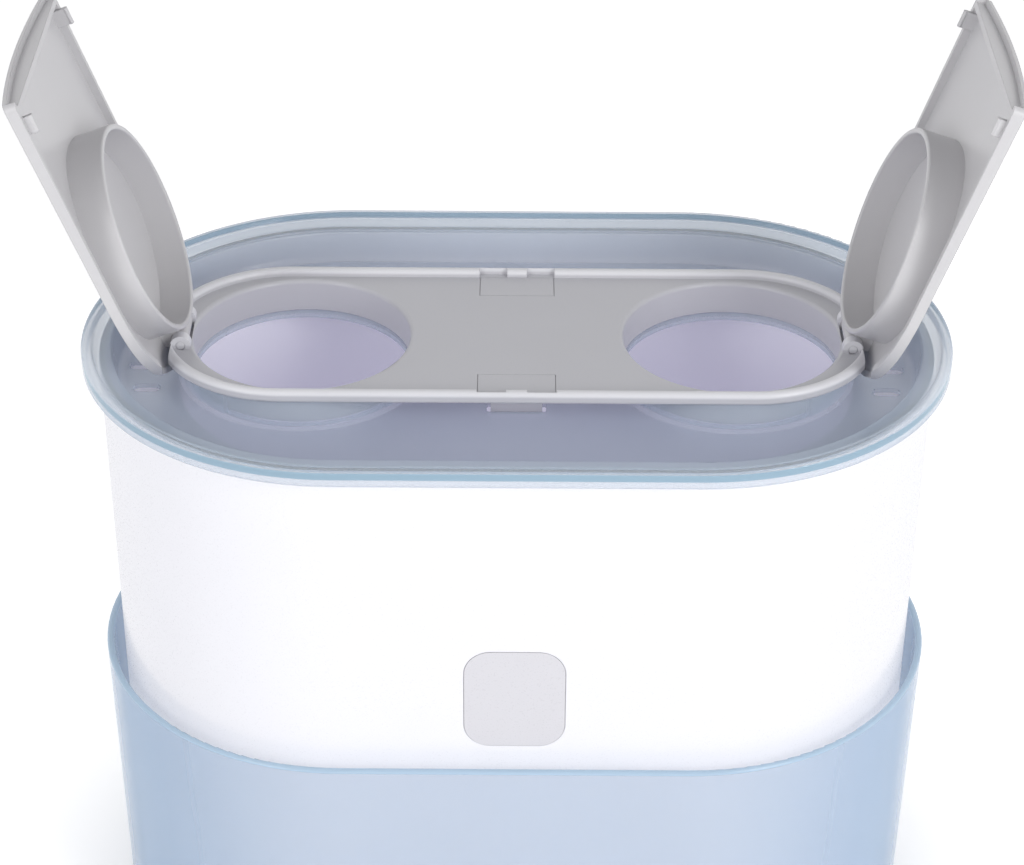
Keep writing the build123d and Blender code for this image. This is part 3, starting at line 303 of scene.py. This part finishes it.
# Lid frame in light grey polypropylene: satin from the mould, with a highlight painted lighter on
# the rim tops
frame_plastic = surface(
    "lid polypropylene light grey", "C9C9CE", 0.32, 0.4, 0.02, painted_highlight=(245.2, 246.4, "E3E3E7")
)
# Covers in the same plastic with a slightly warmer cast
cover_plastic = surface("cover polypropylene light grey", "CFCED0", 0.34, 0.4, 0.02)
# Blank badge film, pale grey and smooth
badge_film = surface("badge film pale grey", "D9D8DD", 0.3, 0.6, 0.005, drift=0.01)
# Painted light: a faint glow on the tank and the rack, standing in for light that the milky walls
# scatter inward
painted_inner_glow = {"Emission_Color": linear("D8D6F0"), "Emission_Strength": 0.1}
# Tank in milky white polypropylene, seen down the bottle holes
tank_plastic = surface(
    "tank polypropylene white", "F6F4FC", 0.35, 0.6, 0.02, drift=0.01, edge=0, **painted_inner_glow
)
# Rack in the same plastic, a little duller
rack_plastic = surface("rack polypropylene white", "F4F2FA", 0.4, 0.6, 0.02, edge=0, **painted_inner_glow)
# Base cover in matt grey ABS with a coarse spark finish
base_abs = surface("base ABS matt grey", "CACACD", 0.6, 0.7, 0.05)
# Silicone of the rings: soft, milky, dull
silicone = surface("silicone milky", "DCDDE0", 0.5, 0.9, 0.02, Subsurface_Weight=0.1)
# Feet in dark rubber
foot_rubber = surface("rubber dark grey", "3A3A3C", 0.75, 0.5, 0.05)
# Inlet and switch in black polyamide, finely matt
black_nylon = surface("polyamide black", "141416", 0.45, 0.4, 0.02)
# Rocker in gloss black ABS
rocker_abs = surface("ABS gloss black", "0F0F11", 0.2, 0.8, 0.005)
# Board laminate, green, under a solder mask
laminate = surface("epoxy laminate green", "1E6B3C", 0.35, 0.4, 0.02, Coat_Weight=0.4)
# Board components in black moulding compound
compound = surface("moulding compound black", "1B1B1D", 0.55, 0.3, 0.03)
# Standoffs in natural nylon
natural_nylon = surface("nylon natural", "E4E0D4", 0.5, 0.6, 0.02, Subsurface_Weight=0.1)
# Phenolic of the thermostat, brown black
phenolic = surface("phenolic brown black", "2A2320", 0.5, 0.4, 0.03)
# Fibre sleeve of the fuse, cream
fibre = surface("glass fibre sleeve cream", "DED6C0", 0.8, 0.5, 0.08)
# Silicone insulation of the leads, off white
insulation = surface("lead silicone off white", "D8D2C6", 0.5, 0.5, 0.02)
# Stainless plate, brushed
stainless = surface("stainless steel brushed", "C4C4C6", 0.3, 0.3, 0.01, Metallic=1.0)
# Zinc plated steel of the screws, pins, clips and strap
zinc_steel = surface("steel zinc plated", "B9BABD", 0.28, 0.4, 0.01, Metallic=1.0)
# Aluminium of the heater block and the probe
aluminium = surface("aluminium extruded", "C9CACC", 0.4, 0.3, 0.02, Metallic=1.0)
# Brass of the inlet pins
brass = surface("brass polished", "C9A866", 0.2, 0.5, 0.01, Metallic=1.0)

finishes = {
    tub_plastic: ["outer_tub"],
    tray_plastic: ["steam_tray"],
    white_abs: ["body_shell"],
    frame_plastic: ["lid_frame", "catch_plates", "hinge_pin_left", "hinge_pin_right"],
    cover_plastic: ["flip_cover_left", "flip_cover_right"],
    badge_film: ["badge_plate"],
    tank_plastic: ["water_tank"],
    rack_plastic: ["bottle_rack"],
    base_abs: ["base_cover"],
    silicone: ["tank_seal", "tray_seal", "plate_seal"],
    foot_rubber: ["rubber_feet"],
    black_nylon: ["power_inlet", "switch_housing"],
    rocker_abs: ["switch_rocker"],
    laminate: ["control_board"],
    compound: ["board_parts"],
    natural_nylon: ["board_standoffs"],
    phenolic: ["thermostat"],
    fibre: ["thermal_fuse"],
    insulation: ["mains_leads", "heater_leads"],
    stainless: ["heating_plate"],
    zinc_steel: [
        "base_screws",
        "board_screws",
        "plate_screws",
        "plate_clips",
        "heater_strap",
        "inlet_screws",
    ],
    aluminium: ["heater_block", "temperature_probe"],
    brass: ["inlet_pins"],
}
for material, names in finishes.items():
    for name in names:
        for slot in nodes[name].material_slots:
            slot.material = material


# Floor, world, lamps and camera, in metres, watts and degrees

FLOOR_RADIUS = 6.0
FLOOR_GLOW = 0.5  # what the floor adds to the light on it, so that it is white to the camera
SHADOW_REACH = 0.06  # how far from the object that glow is held back, a painted contact shadow
HORIZON_LIGHT = 1.3
OVERHEAD_LIGHT = 0.12
LAMP_SIDE = 0.9  # from the middle to either side
LAMP_FRONT = -1.1
LAMP_HEIGHT = 0.9
LAMP_AIM = Vector((0, 0, 0.2))
LAMP_SIZE = (0.5, 0.8)
LEFT_WATTS = 4.5
RIGHT_WATTS = 8
CAMERA_LENS = 103.2
CAMERA_SHIFT = -0.00294
CAMERA_AIM = Vector((-0.00149, 0.0, 0.2052))
CAMERA_DISTANCE = 1.0553
LOOK_DOWN = 31.79
CAMERA_ROLL = 0.37


def paper():
    """Matt white paper that stays white to the camera, with a contact shadow painted by dimming
    its glow near the object.
    """
    material = empty_material("floor paper white")
    tree = material.node_tree
    open_sky = add(tree, "ShaderNodeAmbientOcclusion", {"Distance": SHADOW_REACH}, samples=8)
    glow = add(
        tree, "ShaderNodeMath", {0: seen_directly(tree), 1: FLOOR_GLOW}, operation="MULTIPLY"
    )
    # Painted shadow: the glow is dimmed by ambient occlusion near the object
    glow = add(
        tree,
        "ShaderNodeMath",
        {0: glow.outputs[0], 1: open_sky.outputs["AO"]},
        operation="MULTIPLY",
    )
    shader = add(
        tree,
        "ShaderNodeBsdfPrincipled",
        {
            "Base Color": linear("FAFAFA"),
            "Roughness": 0.9,
            "Specular IOR Level": 0.1,
            "Emission Color": linear("FFFFFF"),
            "Emission Strength": glow.outputs[0],
        },
    )
    add(tree, "ShaderNodeOutputMaterial", {"Surface": shader.outputs["BSDF"]})
    return material


def make_floor():
    """Plain floor just under the object."""
    bm = bmesh.new()
    bmesh.ops.create_circle(bm, cap_ends=True, segments=64, radius=FLOOR_RADIUS)
    mesh = bpy.data.meshes.new("floor")
    bm.to_mesh(mesh)
    bm.free()
    floor = bpy.data.objects.new("floor", mesh)
    bpy.context.scene.collection.objects.link(floor)
    mesh.materials.append(paper())


def make_world():
    """Studio tent: bright all round at eye level, dim overhead, and plain white to the camera."""
    world = bpy.data.worlds.new("studio")
    bpy.context.scene.world = world
    world.use_nodes = True
    tree = world.node_tree
    tree.nodes.clear()
    place = add(tree, "ShaderNodeTexCoord").outputs["Generated"]
    height = add(tree, "ShaderNodeSeparateXYZ", {"Vector": place}).outputs["Z"]
    level = add(
        tree,
        "ShaderNodeMapRange",
        {
            "Value": height,
            "From Min": 0.0,
            "From Max": 1.0,
            "To Min": HORIZON_LIGHT,
            "To Max": OVERHEAD_LIGHT,
        },
    )
    light = add(
        tree,
        "ShaderNodeBackground",
        {"Color": linear("FDFDFF"), "Strength": level.outputs["Result"]},
    )
    backdrop = add(tree, "ShaderNodeBackground", {"Color": linear("FFFFFF"), "Strength": 1.0})
    shown = add(
        tree,
        "ShaderNodeMixShader",
        {"Fac": seen_directly(tree), 1: light.outputs[0], 2: backdrop.outputs[0]},
    )
    add(tree, "ShaderNodeOutputWorld", {"Surface": shown.outputs[0]})


def make_lamp(name, side, watts):
    """Soft box in front, at a distance to the side, facing the object."""
    lamp = bpy.data.lights.new(name, "AREA")
    lamp.shape = "RECTANGLE"
    lamp.size, lamp.size_y = LAMP_SIZE
    lamp.energy = watts
    box = bpy.data.objects.new(name, lamp)
    box.location = (side, LAMP_FRONT, LAMP_HEIGHT)
    box.rotation_euler = (LAMP_AIM - box.location).to_track_quat("-Z", "Y").to_euler()
    bpy.context.scene.collection.objects.link(box)


def make_camera():
    """Long lens, looking down on the front."""
    lens = bpy.data.cameras.new("camera")
    lens.sensor_width = 36.0
    lens.lens = CAMERA_LENS
    lens.clip_start = 0.01
    lens.clip_end = 50.0
    lens.shift_y = CAMERA_SHIFT
    camera = bpy.data.objects.new("camera", lens)
    tilt = Matrix.Rotation(radians(90 - LOOK_DOWN), 4, "X")
    roll = Matrix.Rotation(radians(CAMERA_ROLL), 4, "Z")
    back = Matrix.Translation((0, 0, CAMERA_DISTANCE))
    camera.matrix_world = Matrix.Translation(CAMERA_AIM) @ tilt @ roll @ back
    bpy.context.scene.collection.objects.link(camera)
    bpy.context.scene.camera = camera


make_floor()
make_world()
make_lamp("soft box left", -LAMP_SIDE, LEFT_WATTS)
make_lamp("soft box right", LAMP_SIDE, RIGHT_WATTS)
make_camera()
bpy.context.scene.view_settings.view_transform = "Standard"
